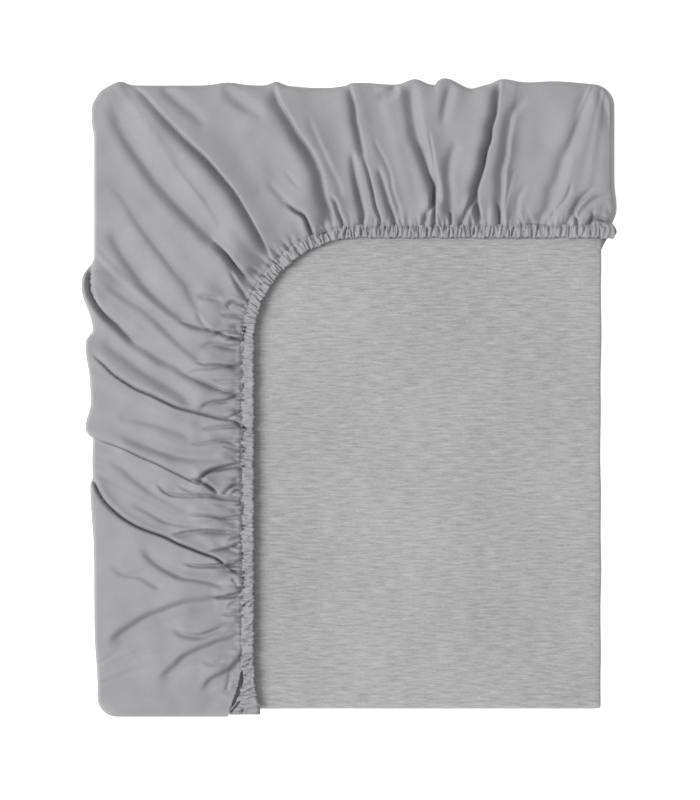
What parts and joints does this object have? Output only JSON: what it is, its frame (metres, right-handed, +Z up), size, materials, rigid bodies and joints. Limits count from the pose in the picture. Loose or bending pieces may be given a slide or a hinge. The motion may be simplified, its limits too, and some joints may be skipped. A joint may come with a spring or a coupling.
{
  "type": "folded mattress protector",
  "caption": "Elasticated mattress protector folded flat, with a smooth panel and a gathered skirt that ends in a ruched hem.",
  "frame": {"origin": "middle of the underside, on the surface that the folded protector lies on", "axes": "+Z up, +Y towards the gathered back side, +X towards the folded right side"},
  "size_m": [0.4277, 0.5111, 0.026],
  "materials": {
    "panel_cloth": "light grey melange cloth with fine horizontal slubs, matte",
    "skirt_cloth": "plain grey fine weave, soft sheen"
  },
  "bodies": {
    "root": {"panel": "panel_cloth", "skirt": "skirt_cloth"}
  },
  "joints": []
}
